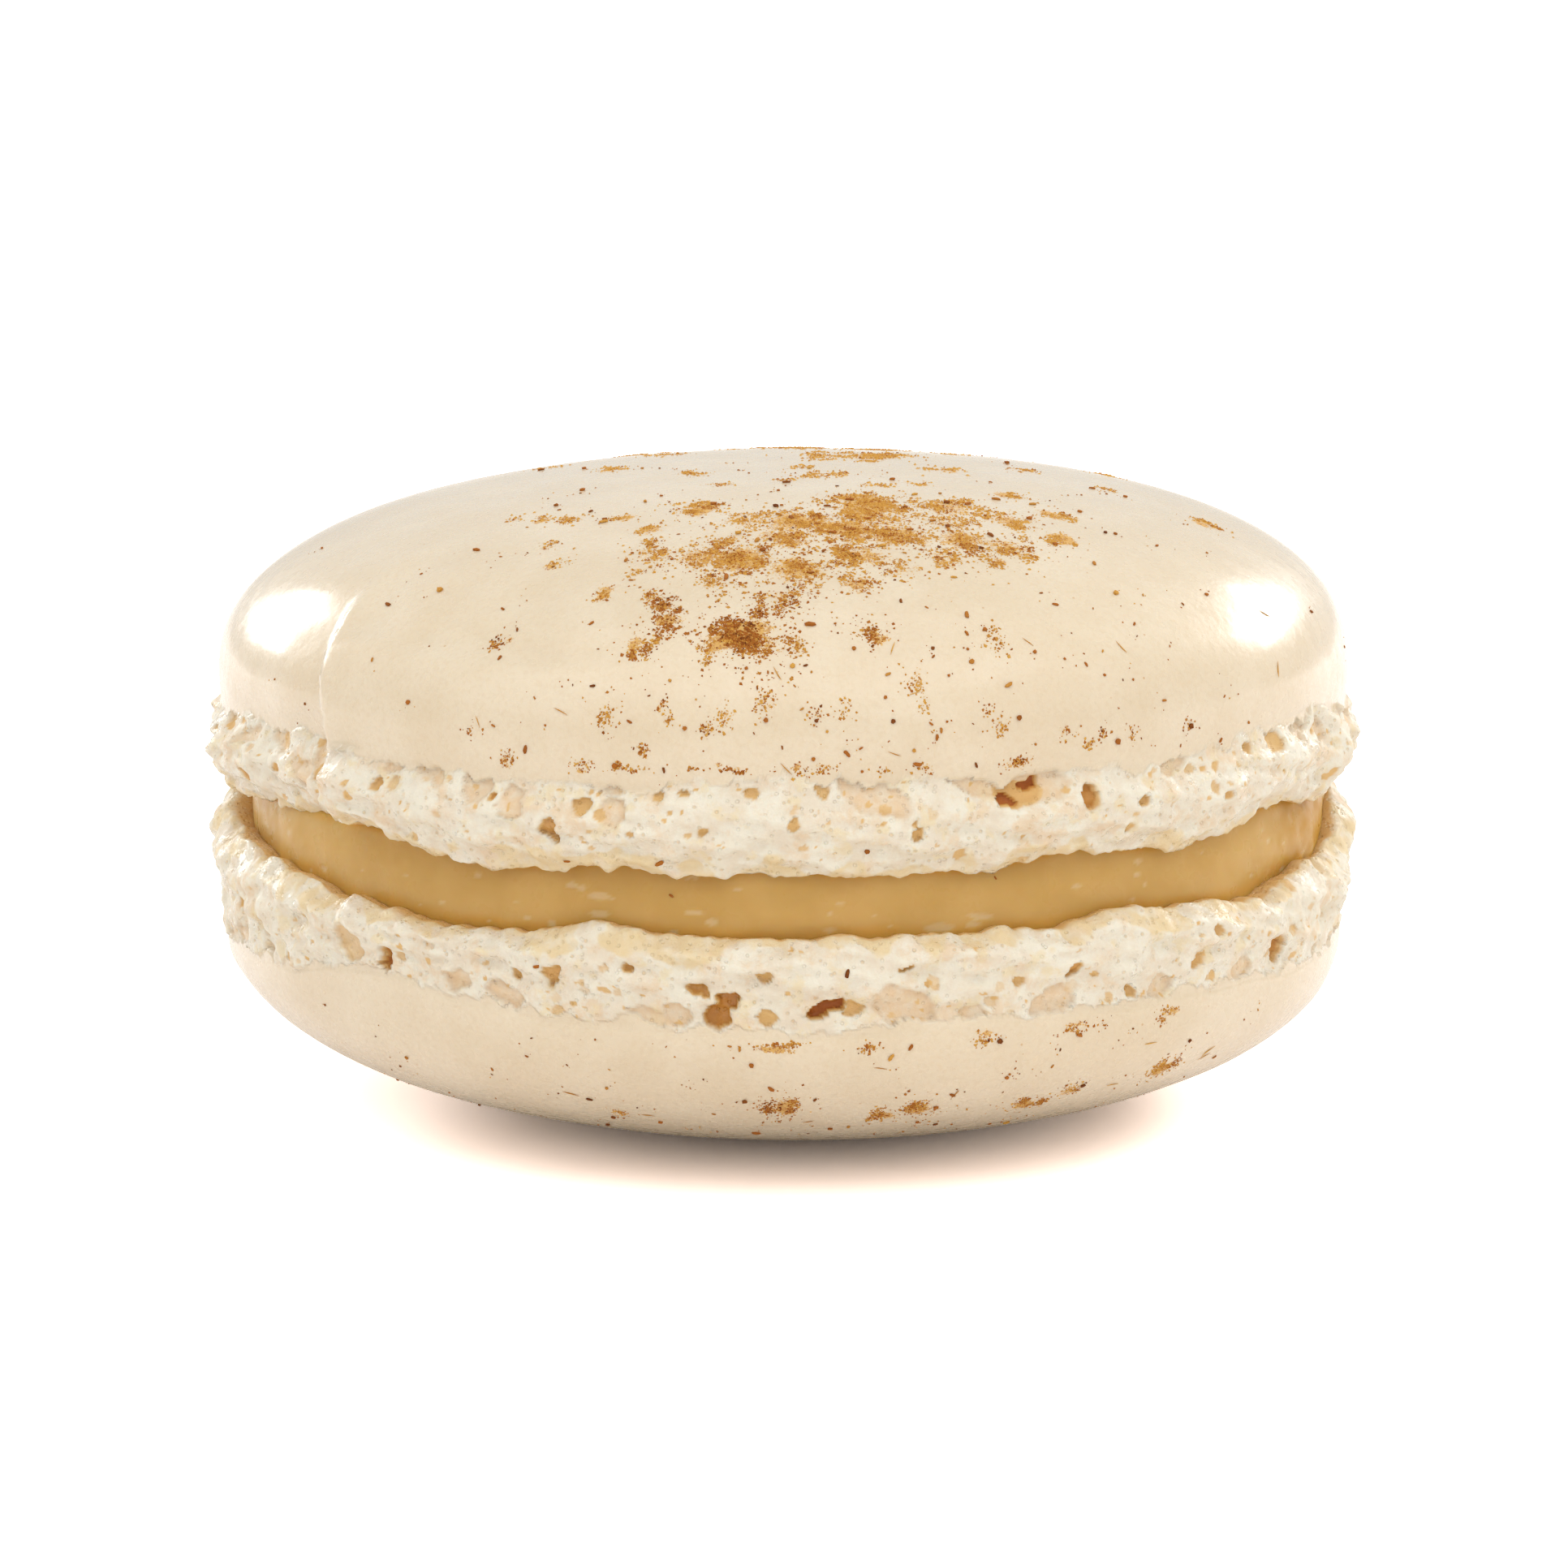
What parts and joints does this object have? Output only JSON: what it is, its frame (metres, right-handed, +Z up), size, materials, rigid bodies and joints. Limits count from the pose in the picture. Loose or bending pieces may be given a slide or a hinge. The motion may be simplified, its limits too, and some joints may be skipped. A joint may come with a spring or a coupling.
{
  "type": "french macaron",
  "caption": "Round almond meringue biscuit with a smooth domed skin, ruffled feet, a caramel cream layer and ground cinnamon on top.",
  "frame": {"origin": "on the surface that the macaron stands on, under the middle of its outline", "axes": "+Z up through both shells; -Y is the front that the picture shows, +X its right"},
  "size_m": [0.0464, 0.0458, 0.0259],
  "materials": {
    "meringue": "baked meringue, a smooth satin ivory skin over an airy matt foot",
    "cream": "soft caramel cream, smooth and slightly glossy",
    "cinnamon": "ground cinnamon, matt"
  },
  "bodies": {
    "root": {"shell_top": "meringue", "filling": "cream", "shell_bottom": "meringue"}
  },
  "joints": []
}
